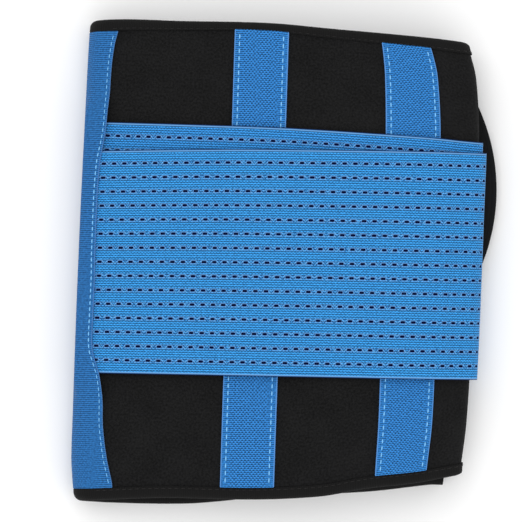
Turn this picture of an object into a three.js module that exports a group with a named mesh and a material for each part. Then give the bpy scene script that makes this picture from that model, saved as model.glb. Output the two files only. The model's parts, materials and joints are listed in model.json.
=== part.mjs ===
// A back support belt, folded in three and lying on its rear layer.
// The folded section is one path in the X-Z plane. Every soft layer is a slab that follows that path
// at its own offset, so the panel, its bindings, the tapes and the straps nest as the sewn ones do.
// Millimetres, +Z up. X runs from the left fold to the right fold, Y from the lower to the upper edge.

import * as THREE from 'three';

// Belt panel
const BELT_HEIGHT = 242;
const PANEL_THICKNESS = 4;
const FOLDED_WIDTH = 193.5;
const REAR_SHORTFALL = 11.5;
const RETURN_SHORTFALL = 25;
const CROWN_SETBACK = 47.5;
const LOOP_CLEARANCE = 16;
const RIGHT_FOLD_RADIUS = 5;
const FOLD_ROOM = 1.5;
const RETURN_REST = 1;

// Sewn edges and tapes
const BINDING_DEPTH = 6;
const BINDING_WALL = 1.4;
const TAPE_WIDTH = 27;
const TAPE_THICKNESS = 1.2;
const LEFT_TAPE_PLACE = 85.2;
const RIGHT_TAPE_PLACE = 162.3;
const RIGHT_TAPE_LEAN = 2.7;

// Elastic straps
const STRAP_WIDTH = 114;
const STRAP_THICKNESS = 1.5;
const STRAP_TUCK = 4;
const OUTER_STRAP_RETURN = 110;
const INNER_STRAP_RETURN = 95;
const DRAPE_LENGTH = 8;

// Rounded closure tab on the rear layer's end
const TAB_THICKNESS = 2.5;
const TAB_HEIGHT = 130;
const TAB_LENGTH = 62;
const TAB_PROUD = 12.2;
const TAB_RISE = 36;
const TAB_END_RADIUS = 100;
const TAB_CORNER = 20;

// Clearance between sewn layers, and the extra that the fold tape needs on its tight bend
const GAP = 0.35;
const FOLD_EASE = 0.2;

// Colours and finish
const NEOPRENE_BLACK = 0x1e1e1f;
const BINDING_BLACK = 0x161617;
const TAPE_BLUE = 0x2f78bb;
const STRAP_BLUE = 0x3a86c4;
const FABRIC_ROUGHNESS = 0.85;

// Shape tables. Lengths are shares of BELT_HEIGHT unless a comment says otherwise.
// at: share of the belt's length from the rear end, top and bottom: where its outline runs.
const EDGE_ROWS = [
  { at: 0.0, top: 0.455, bottom: -0.4555 },
  { at: 0.06, top: 0.464, bottom: -0.4745 },
  { at: 0.16, top: 0.482, bottom: -0.492 },
  { at: 0.19, top: 0.484, bottom: -0.503 },
  { at: 0.23, top: 0.486, bottom: -0.5125 },
  { at: 0.3, top: 0.484, bottom: -0.515 },
  { at: 0.33, top: 0.485, bottom: -0.512 },
  { at: 0.37, top: 0.489, bottom: -0.505 },
  { at: 0.42, top: 0.488, bottom: -0.497 },
  { at: 0.5, top: 0.489, bottom: -0.4934 },
  { at: 0.56, top: 0.4805, bottom: -0.482 },
  { at: 0.6, top: 0.476, bottom: -0.464 },
  { at: 0.65, top: 0.4705, bottom: -0.449 },
  { at: 0.69, top: 0.465, bottom: -0.432 },
  { at: 0.72, top: 0.46, bottom: -0.425 },
  { at: 0.8, top: 0.465, bottom: -0.44 },
  { at: 1.0, top: 0.47, bottom: -0.47 },
];

// at: height on the belt, left and right: how far the folds draw inwards there.
const FOLD_ROWS = [
  { at: -0.52, left: 0.0135, right: 0.0225 },
  { at: -0.46, left: 0.003, right: 0.0185 },
  { at: -0.42, left: 0.0, right: 0.0155 },
  { at: -0.32, left: 0.0, right: 0.006 },
  { at: -0.15, left: 0.0, right: 0.0015 },
  { at: 0.1, left: 0.002, right: 0.0 },
  { at: 0.28, left: 0.005, right: 0.0 },
  { at: 0.39, left: 0.007, right: 0.0095 },
  { at: 0.435, left: 0.008, right: 0.0215 },
  { at: 0.47, left: 0.009, right: 0.034 },
  { at: 0.52, left: 0.01, right: 0.04 },
];

// at: height on the belt, edge: the fold tape's right edge past the top of the left fold,
// in shares of TAPE_WIDTH.
const FOLD_TAPE_ROWS = [
  { at: -0.5, edge: 0.39 },
  { at: -0.38, edge: 0.22 },
  { at: -0.2975, edge: 0.185 },
  { at: -0.219, edge: 0.067 },
  { at: -0.136, edge: -0.022 },
  { at: 0.008, edge: -0.026 },
  { at: 0.194, edge: -0.01 },
  { at: 0.281, edge: 0.08 },
  { at: 0.488, edge: 0.185 },
];

// at: share of the visible strap from the left fold to the right one, middle: its middle line,
// width: share of STRAP_WIDTH.
const OUTER_STRAP_ROWS = [
  { at: 0.0, middle: -0.015, width: 0.975 },
  { at: 0.4, middle: -0.006, width: 0.99 },
  { at: 1.0, middle: 0.003, width: 1.0 },
  { at: 1.6, middle: 0.006, width: 1.0 },
];
const INNER_STRAP_ROWS = [
  { at: 0.0, middle: 0.0393, width: 1.0 },
  { at: 0.5, middle: 0.038, width: 1.0 },
  { at: 1.0, middle: 0.0228, width: 1.0 },
  { at: 1.6, middle: 0.012, width: 1.0 },
];

// The half profile of a binding: in is a share of BINDING_DEPTH from the outline inwards,
// out is a share of the half thickness.
const BINDING_OUTSIDE = [
  { in: 1.0, out: 1.0 },
  { in: 0.5, out: 1.0 },
  { in: 0.15, out: 0.72 },
];
const BINDING_INSIDE = [
  { in: 1.0, out: 1.0 },
  { in: 0.55, out: 1.0 },
  { in: 0.26, out: 0.7 },
];

// Places that follow from the sizes
const leftFoldX = -FOLDED_WIDTH / 2;
const rightFoldX = FOLDED_WIDTH / 2;
const bindingStep = GAP + BINDING_WALL;
const tapeStep = GAP + TAPE_THICKNESS;
const strapStep = GAP + STRAP_THICKNESS;
const panelFace = PANEL_THICKNESS / 2;
const panelInset = BINDING_WALL + 2;
const rearZ = panelFace + Math.max(bindingStep, tapeStep + FOLD_EASE);
const returnZ = rearZ + PANEL_THICKNESS + 2 * GAP + TAB_THICKNESS + 2 * strapStep;
const returnEndZ = rearZ + PANEL_THICKNESS + 2 * bindingStep + RETURN_REST;
const crownZ = returnZ + PANEL_THICKNESS + LOOP_CLEARANCE;
const leftFoldTopZ = returnEndZ + PANEL_THICKNESS + 2 * bindingStep + FOLD_ROOM;
const leftFoldRadius = (leftFoldTopZ - rearZ) / 2;

// A smooth curve through a table's rows, read at any place between them.
function readRows(rows, column, place) {
  const last = rows.length - 1;
  const slope = (row) => {
    const before = rows[Math.max(row - 1, 0)];
    const after = rows[Math.min(row + 1, last)];
    return (after[column] - before[column]) / (after.at - before.at);
  };
  const at = THREE.MathUtils.clamp(place, rows[0].at, rows[last].at);
  let row = 0;
  while (row < last - 1 && rows[row + 1].at < at) row += 1;
  const span = rows[row + 1].at - rows[row].at;
  const t = (at - rows[row].at) / span;
  const start = (1 + 2 * t) * (1 - t) ** 2 * rows[row][column];
  const end = t * t * (3 - 2 * t) * rows[row + 1][column];
  const startSlope = t * (1 - t) ** 2 * span * slope(row);
  const endSlope = t * t * (t - 1) * span * slope(row + 1);
  return start + end + startSlope + endSlope;
}

// The left fold's arc ends at this angle. The reaches of the front layer's curves are shares of its rise,
// its fall and the height of its crown.
const LEFT_FOLD_END_ANGLE = 102;
const RISE_REACH = 0.333;
const FALL_REACH = 0.42;
const TIP_REACH = 0.5;

// The folded section: rear layer, left fold, front layer up to its crown and down, right fold, return.
function foldedSection() {
  const leftCentre = { x: leftFoldX + leftFoldRadius, z: rearZ + leftFoldRadius };
  const leftEndAngle = THREE.MathUtils.degToRad(LEFT_FOLD_END_ANGLE);
  const rise = new THREE.Vector2(Math.sin(leftEndAngle), -Math.cos(leftEndAngle));
  const leftTop = {
    x: leftCentre.x + leftFoldRadius * Math.cos(leftEndAngle),
    z: leftCentre.z + leftFoldRadius * Math.sin(leftEndAngle),
  };
  const crownX = rightFoldX - CROWN_SETBACK;
  const riseReach = (crownX - leftTop.x) * RISE_REACH;
  const rightCentre = { x: rightFoldX - RIGHT_FOLD_RADIUS, z: returnZ + RIGHT_FOLD_RADIUS };
  const diagonal = RIGHT_FOLD_RADIUS * Math.SQRT1_2;
  const tip = { x: rightCentre.x + diagonal, z: rightCentre.z + diagonal };
  const fallReach = CROWN_SETBACK * FALL_REACH;
  const tipReach = (crownZ - tip.z) * TIP_REACH;
  const path = new THREE.Path();
  path.moveTo(rightFoldX - REAR_SHORTFALL, rearZ);
  path.lineTo(leftCentre.x, rearZ);
  path.absarc(leftCentre.x, leftCentre.z, leftFoldRadius, -Math.PI / 2, leftEndAngle, true);
  path.bezierCurveTo(
    leftTop.x + riseReach * rise.x, leftTop.z + riseReach * rise.y,
    crownX - riseReach, crownZ,
    crownX, crownZ,
  );
  path.bezierCurveTo(crownX + fallReach, crownZ, tip.x - tipReach, tip.z + tipReach, tip.x, tip.z);
  path.absarc(rightCentre.x, rightCentre.z, RIGHT_FOLD_RADIUS, Math.PI / 4, -Math.PI / 2, true);
  path.lineTo(rightCentre.x - OUTER_STRAP_RETURN, returnZ);
  path.lineTo(leftFoldX + RETURN_SHORTFALL, returnEndZ);
  return path;
}

const section = foldedSection();
const beltLength = section.getLength();

// Where each run of the section ends. The path may join its arcs with lines of no length, left out here.
const NO_LENGTH = 1e-6;
const runEnds = section.getCurveLengths().filter((end, run, ends) => end - (ends[run - 1] ?? 0) > NO_LENGTH);
const [, leftFoldEnd, , rightFoldStart, rightFoldEnd] = runEnds;
const RUN_STEPS = [10, 14, 16, 10, 10, 6, 3];

// Where the folds' drawing in starts and is complete, in shares of the way from the middle to a fold.
const RIGHT_DRAW_START = 0.2;
const LEFT_DRAW_START = 0.4;
const DRAW_FULL = 0.95;

// How far a fold draws in at this height, faded out away from the fold.
function foldShift(x, y) {
  const height = y / BELT_HEIGHT;
  const full = rightFoldX * DRAW_FULL;
  const nearRight = THREE.MathUtils.smoothstep(x, rightFoldX * RIGHT_DRAW_START, full);
  const nearLeft = THREE.MathUtils.smoothstep(-x, rightFoldX * LEFT_DRAW_START, full);
  const right = readRows(FOLD_ROWS, 'right', height) * nearRight;
  const left = readRows(FOLD_ROWS, 'left', height) * nearLeft;
  return BELT_HEIGHT * (left - right);
}

// A point of the folded belt: distance along it, height on it, and offset out of its middle surface.
function beltPoint(distance, y, offset) {
  const share = THREE.MathUtils.clamp(distance / beltLength, 0, 1);
  const middle = section.getPoint(share);
  const heading = section.getTangent(share);
  const x = middle.x - heading.y * offset;
  const z = middle.y + heading.x * offset;
  return new THREE.Vector3(x + foldShift(x, y), y, z);
}

function outlineTop(distance) {
  return BELT_HEIGHT * readRows(EDGE_ROWS, 'top', distance / beltLength);
}

function outlineBottom(distance) {
  return BELT_HEIGHT * readRows(EDGE_ROWS, 'bottom', distance / beltLength);
}

// The stations that all long pieces share, so that nested layers have parallel facets.
function sharedStations() {
  const ends = [0, ...runEnds];
  const stations = [0];
  RUN_STEPS.forEach((steps, run) => {
    for (let step = 1; step <= steps; step += 1) {
      stations.push(THREE.MathUtils.lerp(ends[run], ends[run + 1], step / steps));
    }
  });
  return stations;
}

const allStations = sharedStations();

function stationsBetween(start, end) {
  const spare = 0.5;
  const inner = allStations.filter((place) => place > start + spare && place < end - spare);
  return [start, ...inner, end];
}

// Where the centre line of the front layer passes a given distance from the left fold.
function frontDistance(fromLeftFold) {
  let low = leftFoldEnd;
  let high = rightFoldStart;
  for (let halving = 0; halving < 30; halving += 1) {
    const middle = (low + high) / 2;
    if (section.getPoint(middle / beltLength).x < leftFoldX + fromLeftFold) low = middle;
    else high = middle;
  }
  return low;
}

// A closed solid between two grids of points that match one to one.
function slab(outside, inside) {
  const rows = outside.length;
  const columns = outside[0].length;
  const points = [...outside.flat(), ...inside.flat()];
  const top = (row, column) => row * columns + column;
  const under = (row, column) => rows * columns + top(row, column);
  const faces = [];
  const quad = (a, b, c, d) => faces.push(a, b, c, a, c, d);
  for (let row = 0; row < rows - 1; row += 1) {
    for (let column = 0; column < columns - 1; column += 1) {
      quad(top(row, column), top(row, column + 1), top(row + 1, column + 1), top(row + 1, column));
      quad(under(row, column), under(row + 1, column), under(row + 1, column + 1), under(row, column + 1));
    }
    const last = columns - 1;
    quad(top(row, 0), top(row + 1, 0), under(row + 1, 0), under(row, 0));
    quad(top(row + 1, last), top(row, last), under(row, last), under(row + 1, last));
  }
  for (let column = 0; column < columns - 1; column += 1) {
    const last = rows - 1;
    quad(top(0, column + 1), top(0, column), under(0, column), under(0, column + 1));
    quad(top(last, column), top(last, column + 1), under(last, column + 1), under(last, column));
  }
  if (signedVolume(points, faces) < 0) faces.reverse();
  const geometry = new THREE.BufferGeometry().setFromPoints(points);
  geometry.setIndex(faces);
  geometry.computeVertexNormals();
  return geometry;
}

function signedVolume(points, faces) {
  let volume = 0;
  const cross = new THREE.Vector3();
  for (let face = 0; face < faces.length; face += 3) {
    const [a, b, c] = faces.slice(face, face + 3).map((index) => points[index]);
    volume += a.dot(cross.crossVectors(b, c)) / 6;
  }
  return volume;
}

function piece(name, geometry, color, roughness = FABRIC_ROUGHNESS) {
  const mesh = new THREE.Mesh(geometry, new THREE.MeshStandardMaterial({ color, roughness, metalness: 0 }));
  mesh.name = name;
  return mesh;
}

// The padded panel, from its rear end round both folds. Rows lie close together near the bindings.
function mainPanel() {
  const spread = [0.04, 0.09, 0.17, 0.3, 0.5, 0.7, 0.83, 0.91, 0.96];
  const face = (offset) => allStations.map((place) => {
    const low = outlineBottom(place);
    const high = outlineTop(place);
    const heights = [
      low + panelInset,
      low + BINDING_DEPTH,
      ...spread.map((share) => THREE.MathUtils.lerp(low, high, share)),
      high - BINDING_DEPTH,
      high - panelInset,
    ];
    return heights.map((y) => beltPoint(place, y, offset));
  });
  return piece('main_panel', slab(face(panelFace), face(-panelFace)), NEOPRENE_BLACK);
}

// A folded edge binding: both legs of its profile, with one point at the fold between them.
function binding(name, outline, inwards) {
  const profile = (half, crest, reach) => {
    const leg = (side) => half.map((row) => ({ in: row.in * BINDING_DEPTH, out: side * row.out * reach }));
    return [...leg(1), { in: crest, out: 0 }, ...leg(-1).reverse()];
  };
  const face = (points) => allStations.map((place) => (
    points.map((point) => beltPoint(place, outline(place) + inwards * point.in, point.out))
  ));
  const outside = profile(BINDING_OUTSIDE, 0, panelFace + bindingStep);
  const inside = profile(BINDING_INSIDE, BINDING_WALL, panelFace + GAP);
  return piece(name, slab(face(outside), face(inside)), BINDING_BLACK);
}

// A tape on the front layer, from one binding to the other. Its lower end leans to the right.
function frontTape(name, fromLeftFold, lean = 0) {
  const centre = frontDistance(fromLeftFold);
  const acrossSteps = 4;
  const upSteps = 10;
  const face = (offset) => Array.from({ length: acrossSteps + 1 }, (_, across) => {
    const place = centre + TAPE_WIDTH * (across / acrossSteps - 0.5);
    const low = outlineBottom(place + lean / 2) + BINDING_DEPTH + GAP;
    const high = outlineTop(place - lean / 2) - BINDING_DEPTH - GAP;
    return Array.from({ length: upSteps + 1 }, (__, up) => {
      const leaning = place + lean * (0.5 - up / upSteps);
      return beltPoint(leaning, THREE.MathUtils.lerp(low, high, up / upSteps), offset);
    });
  });
  return piece(name, slab(face(panelFace + tapeStep), face(panelFace + GAP)), TAPE_BLUE);
}

// The straps ride up over the two front tapes and settle back between them.
function liftOverTapes(distance) {
  const margin = 1.5;
  const lifts = [LEFT_TAPE_PLACE, RIGHT_TAPE_PLACE].map((fromLeftFold) => {
    const beyond = Math.abs(distance - frontDistance(fromLeftFold)) - TAPE_WIDTH / 2 - margin;
    return 1 - THREE.MathUtils.smoothstep(beyond, 0, DRAPE_LENGTH);
  });
  return tapeStep * Math.max(...lifts);
}

// A wide elastic strap, from under the fold tape, over the front and round the right fold.
function strap(name, rows, layer, returnLength) {
  const start = leftFoldEnd - STRAP_TUCK;
  const end = rightFoldEnd + returnLength;
  const upSteps = 4;
  const outer = panelFace + strapStep * layer;
  const face = (offset) => stationsBetween(start, end).map((place) => {
    const along = (place - start) / (rightFoldStart - start);
    const middle = BELT_HEIGHT * readRows(rows, 'middle', along);
    const width = STRAP_WIDTH * readRows(rows, 'width', along);
    return Array.from({ length: upSteps + 1 }, (_, up) => (
      beltPoint(place, middle + width * (up / upSteps - 0.5), offset + liftOverTapes(place))
    ));
  });
  return piece(name, slab(face(outer), face(outer - STRAP_THICKNESS)), STRAP_BLUE);
}

// The tape round the left fold, which bulges where the tucked ends of both straps lie under it.
function foldTape() {
  const ramp = 6;
  const margin = 2;
  const endRamp = 4.2;
  const endMargin = 0.8;
  const rampEnd = leftFoldEnd - STRAP_TUCK - endMargin;
  const outerStart = OUTER_STRAP_ROWS[0];
  const strapLow = BELT_HEIGHT * outerStart.middle - STRAP_WIDTH * outerStart.width / 2 - margin;
  const strapHigh = BELT_HEIGHT * INNER_STRAP_ROWS[0].middle + STRAP_WIDTH / 2 + margin;
  const bulge = (place, y) => {
    const along = THREE.MathUtils.smoothstep(place, rampEnd - endRamp, rampEnd);
    const up = THREE.MathUtils.smoothstep(y, strapLow - ramp, strapLow);
    const down = 1 - THREE.MathUtils.smoothstep(y, strapHigh, strapHigh + ramp);
    return 2 * strapStep * along * up * down;
  };
  const reach = [-TAPE_WIDTH, -TAPE_WIDTH / 2, 0, TAPE_WIDTH / 2].map((along) => leftFoldEnd + along);
  const low = Math.max(...reach.map(outlineBottom)) + BINDING_DEPTH + GAP;
  const high = Math.min(...reach.map(outlineTop)) - BINDING_DEPTH - GAP;
  const spread = (from, to, steps) => (
    Array.from({ length: steps }, (_, step) => THREE.MathUtils.lerp(from, to, step / steps))
  );
  const heights = [
    ...spread(low, strapLow - ramp, 5),
    ...spread(strapLow - ramp, strapLow, 2),
    ...spread(strapLow, strapHigh, 6),
    ...spread(strapHigh, strapHigh + ramp, 2),
    ...spread(strapHigh + ramp, high, 5),
    high,
  ];
  const acrossSteps = 14;
  const face = (offset) => Array.from({ length: acrossSteps + 1 }, (_, across) => heights.map((y) => {
    const edge = leftFoldEnd + TAPE_WIDTH * readRows(FOLD_TAPE_ROWS, 'edge', y / BELT_HEIGHT);
    const place = edge - TAPE_WIDTH * (1 - across / acrossSteps);
    return beltPoint(place, y, offset + bulge(place, y));
  }));
  const inner = panelFace + GAP + FOLD_EASE;
  return piece('fold_tape', slab(face(inner + TAPE_THICKNESS), face(inner)), TAPE_BLUE);
}

// The flat closure tab, sewn to the inner face of the rear layer, with a long round end.
function closureTab() {
  const right = rightFoldX + TAB_PROUD;
  const left = right - TAB_LENGTH;
  const halfHeight = TAB_HEIGHT / 2;
  const cornerRise = halfHeight - TAB_CORNER;
  const cornerX = right - TAB_END_RADIUS + Math.sqrt((TAB_END_RADIUS - TAB_CORNER) ** 2 - cornerRise ** 2);
  const turn = Math.atan2(cornerRise, cornerX - (right - TAB_END_RADIUS));
  const outline = new THREE.Shape();
  outline.moveTo(left, TAB_RISE - halfHeight);
  outline.absarc(cornerX, TAB_RISE - cornerRise, TAB_CORNER, -Math.PI / 2, -turn, false);
  outline.absarc(right - TAB_END_RADIUS, TAB_RISE, TAB_END_RADIUS, -turn, turn, false);
  outline.absarc(cornerX, TAB_RISE + cornerRise, TAB_CORNER, turn, Math.PI / 2, false);
  outline.lineTo(left, TAB_RISE + halfHeight);
  outline.closePath();
  const geometry = new THREE.ExtrudeGeometry(outline, {
    depth: TAB_THICKNESS,
    bevelEnabled: false,
    curveSegments: 12,
  });
  geometry.translate(0, 0, rearZ + panelFace + GAP);
  return piece('closure_tab', geometry, BINDING_BLACK);
}

const belt = new THREE.Group();
belt.add(
  mainPanel(),
  binding('top_binding', outlineTop, -1),
  binding('bottom_binding', outlineBottom, 1),
  foldTape(),
  frontTape('front_tape_left', LEFT_TAPE_PLACE),
  frontTape('front_tape_right', RIGHT_TAPE_PLACE, RIGHT_TAPE_LEAN),
  strap('inner_strap', INNER_STRAP_ROWS, 1, INNER_STRAP_RETURN),
  strap('outer_strap', OUTER_STRAP_ROWS, 2, OUTER_STRAP_RETURN),
  closureTab(),
);

// The belt rests on z = 0 with the middle of its box over the origin.
const box = new THREE.Box3().setFromObject(belt);
const centre = box.getCenter(new THREE.Vector3());
belt.position.set(-centre.x, -centre.y, -box.min.z);

export default belt;
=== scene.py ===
# %% [markdown]
# # A back support belt, folded and lying flat
# Every piece of this belt is flat when it is cut: a long padded panel, ribbons, and wide elastic straps.
# So each one is modelled flat at its cut size, sewn and pressed while it is flat, and folded last.
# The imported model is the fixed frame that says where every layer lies.

# %% Load the frame
import json
import math

import bpy
import numpy as np
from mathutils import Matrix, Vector

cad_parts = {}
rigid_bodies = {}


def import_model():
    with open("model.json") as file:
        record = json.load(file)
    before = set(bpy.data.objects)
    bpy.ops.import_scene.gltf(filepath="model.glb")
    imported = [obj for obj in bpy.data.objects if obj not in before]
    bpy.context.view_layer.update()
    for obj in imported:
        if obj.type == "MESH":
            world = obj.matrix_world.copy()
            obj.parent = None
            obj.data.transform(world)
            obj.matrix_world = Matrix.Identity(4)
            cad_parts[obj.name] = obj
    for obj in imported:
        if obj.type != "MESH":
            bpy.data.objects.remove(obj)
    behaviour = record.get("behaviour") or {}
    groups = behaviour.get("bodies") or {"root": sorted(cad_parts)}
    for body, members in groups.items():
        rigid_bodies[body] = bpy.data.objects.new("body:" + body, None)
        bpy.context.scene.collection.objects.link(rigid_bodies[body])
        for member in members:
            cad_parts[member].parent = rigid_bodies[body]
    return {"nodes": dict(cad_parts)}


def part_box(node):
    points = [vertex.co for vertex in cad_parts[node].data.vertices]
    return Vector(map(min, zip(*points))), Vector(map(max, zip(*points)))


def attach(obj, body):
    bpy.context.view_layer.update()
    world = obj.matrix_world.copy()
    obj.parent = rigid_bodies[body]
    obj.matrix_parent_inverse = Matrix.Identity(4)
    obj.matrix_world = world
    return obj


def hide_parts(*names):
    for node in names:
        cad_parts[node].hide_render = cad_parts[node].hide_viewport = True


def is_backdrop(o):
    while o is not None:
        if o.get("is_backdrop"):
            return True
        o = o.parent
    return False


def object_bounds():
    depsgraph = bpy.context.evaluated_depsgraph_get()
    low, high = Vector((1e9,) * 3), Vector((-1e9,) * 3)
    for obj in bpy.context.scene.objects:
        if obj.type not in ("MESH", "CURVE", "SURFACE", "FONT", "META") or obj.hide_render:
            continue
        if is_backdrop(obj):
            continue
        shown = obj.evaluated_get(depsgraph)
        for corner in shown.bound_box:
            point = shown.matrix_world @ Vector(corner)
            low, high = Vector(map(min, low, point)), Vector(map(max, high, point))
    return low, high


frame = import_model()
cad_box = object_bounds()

bpy.ops.object.select_all(action="DESELECT")
print("nodes in the frame:", sorted(frame["nodes"]))

# %% [markdown]
# ## Sizes
# Blender works in metres, so MM turns the belt maker's millimetres into them. The belt's own sizes are
# the ones that its frame was built from, written once here and used by every piece below.

# %% Sizes of the belt
MM = 0.001
BELT_HEIGHT = 242 * MM
PANEL_THICKNESS = 4 * MM
FOLDED_WIDTH = 193.5 * MM
REAR_SHORTFALL = 11.5 * MM
REAR_REACH = 6 * MM  # how far the cloth's rear end reaches past its solid
RETURN_SHORTFALL = 25 * MM
CROWN_SETBACK = 47.5 * MM
LOOP_CLEARANCE = 16 * MM
RIGHT_FOLD_RADIUS = 5 * MM
FOLD_ROOM = 1.5 * MM
RETURN_REST = 1 * MM
BINDING_DEPTH = 6 * MM
BINDING_WALL = 1.4 * MM
TAPE_WIDTH = 27 * MM
TAPE_THICKNESS = 1.2 * MM
FOLD_TAPE_WIDTH = 38 * MM  # measured along the tape itself, round the fold
LEFT_TAPE_PLACE = 85.2 * MM
RIGHT_TAPE_PLACE = 162.3 * MM
RIGHT_TAPE_LEAN = 2.7 * MM
STRAP_WIDTH = 114 * MM
STRAP_THICKNESS = 1.5 * MM
STRAP_TUCK = 4 * MM
OUTER_STRAP_RETURN = 110 * MM
INNER_STRAP_RETURN = 95 * MM
DRAPE_LENGTH = 8 * MM
TAB_THICKNESS = 2.5 * MM
GAP = 0.35 * MM
FOLD_EASE = 0.2 * MM

panel_face = PANEL_THICKNESS / 2
binding_step = GAP + BINDING_WALL
tape_step = GAP + TAPE_THICKNESS
strap_step = GAP + STRAP_THICKNESS
print("belt height:", round(BELT_HEIGHT / MM), "mm")

# %% [markdown]
# ## The outline tables
# A folded belt is never a perfect rectangle. These short tables say where the outline runs along the
# belt and how far each fold draws in at a height. Their lengths are shares of the belt's height.
# A table is read through a smooth curve, so a few rows are enough.

# %% Outline tables
EDGE_ROWS = [  # share of the belt's length, top, bottom
    (0.00, 0.455, -0.4555),
    (0.06, 0.464, -0.4745),
    (0.16, 0.482, -0.492),
    (0.19, 0.484, -0.503),
    (0.23, 0.486, -0.5125),
    (0.30, 0.484, -0.515),
    (0.33, 0.485, -0.512),
    (0.37, 0.489, -0.505),
    (0.42, 0.488, -0.497),
    (0.50, 0.489, -0.4934),
    (0.56, 0.4805, -0.482),
    (0.60, 0.476, -0.464),
    (0.65, 0.4705, -0.449),
    (0.69, 0.465, -0.432),
    (0.72, 0.460, -0.425),
    (0.80, 0.465, -0.440),
    (1.00, 0.470, -0.470),
]
FOLD_ROWS = [  # height, how far the left fold and the right fold draw in
    (-0.52, 0.0095, 0.0225),
    (-0.46, 0.003, 0.0185),
    (-0.42, 0.0, 0.0155),
    (-0.32, 0.0, 0.006),
    (-0.15, 0.0, 0.0015),
    (0.10, 0.002, 0.0),
    (0.28, 0.005, 0.0),
    (0.39, 0.007, 0.0095),
    (0.435, 0.008, 0.0215),
    (0.47, 0.009, 0.034),
    (0.52, 0.010, 0.040),
]
FOLD_TAPE_ROWS = [  # height, the fold tape's right edge past the fold in shares of a front tape's width
    (-0.50, 0.39),
    (-0.38, 0.22),
    (-0.30, 0.19),
    (-0.265, 0.15),
    (-0.232, 0.06),
    (-0.215, 0.018),
    (-0.19, -0.003),
    (-0.14, -0.003),
    (-0.049, 0.0),
    (0.008, -0.008),
    (0.194, 0.0),
    (0.281, 0.08),
    (0.40, 0.09),
    (0.457, 0.13),
    (0.488, 0.185),
]
OUTER_STRAP_ROWS = [  # share of the visible strap, middle line, share of the strap's width
    (0.0, -0.015, 0.975),
    (0.4, -0.006, 0.99),
    (1.0, 0.0018, 0.995),
    (1.6, 0.0048, 0.995),
]
INNER_STRAP_ROWS = [
    (0.0, 0.0393, 1.0),
    (0.5, 0.038, 1.0),
    (0.85, 0.0290, 1.0),
    (1.0, 0.0228, 1.0),
    (1.6, 0.012, 1.0),
]


def read_rows(rows, column, place):
    """A smooth curve through one column of a table, read at one place or at many."""
    at = np.array([row[0] for row in rows])
    value = np.array([row[column] for row in rows])
    before = np.maximum(np.arange(len(at)) - 1, 0)
    after = np.minimum(np.arange(len(at)) + 1, len(at) - 1)
    slope = (value[after] - value[before]) / (at[after] - at[before])
    place = np.clip(place, at[0], at[-1])
    row = np.clip(np.searchsorted(at, place) - 1, 0, len(at) - 2)
    span = at[row + 1] - at[row]
    t = (place - at[row]) / span
    start = (1 + 2 * t) * (1 - t) ** 2 * value[row]
    end = t * t * (3 - 2 * t) * value[row + 1]
    return start + end + span * (t * (1 - t) ** 2 * slope[row] + t * t * (t - 1) * slope[row + 1])


print("belt top over its rear end:", round(float(read_rows(EDGE_ROWS, 1, 0.0)) * BELT_HEIGHT / MM), "mm")

# %% [markdown]
# ## The folded section
# Seen from its lower edge, the folded belt is one line: along the surface to the left fold, back over the
# top to the right fold, and in again between the two layers. The line is drawn with straight runs, arcs
# and two Bezier curves, and then measured, so that any distance along the belt gives a point and a heading.

# %% Draw the folded section
left_fold_x = -FOLDED_WIDTH / 2
right_fold_x = FOLDED_WIDTH / 2
rear_z = panel_face + max(binding_step, tape_step + FOLD_EASE)
return_z = rear_z + PANEL_THICKNESS + 2 * GAP + TAB_THICKNESS + 2 * strap_step
return_end_z = rear_z + PANEL_THICKNESS + 2 * binding_step + RETURN_REST
crown_z = return_z + PANEL_THICKNESS + LOOP_CLEARANCE
left_fold_top_z = return_end_z + PANEL_THICKNESS + 2 * binding_step + FOLD_ROOM
left_radius = (left_fold_top_z - rear_z) / 2
LEFT_END_ANGLE = math.radians(102)
RISE_REACH = 0.333
FALL_REACH = 0.42
TIP_REACH = 0.5


def straight(start, end, steps=60):
    """Points of a straight run."""
    share = np.linspace(0, 1, steps)[:, None]
    return np.array(start) * (1 - share) + np.array(end) * share


def arc(centre, radius, start, end, steps=80):
    """Points of an arc between two angles."""
    turn = np.linspace(start, end, steps)
    return np.array(centre) + radius * np.stack([np.cos(turn), np.sin(turn)], axis=1)


def bezier(start, first, second, end, steps=160):
    """Points of a Bezier curve."""
    t = np.linspace(0, 1, steps)[:, None]
    ends = (1 - t) ** 3 * np.array(start) + t ** 3 * np.array(end)
    return ends + 3 * t * (1 - t) ** 2 * np.array(first) + 3 * t * t * (1 - t) * np.array(second)


def walk(points):
    """How far along a line each of its points lies."""
    steps = np.linalg.norm(np.diff(points, axis=0), axis=1)
    return np.concatenate([[0.0], np.cumsum(steps)])


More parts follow.
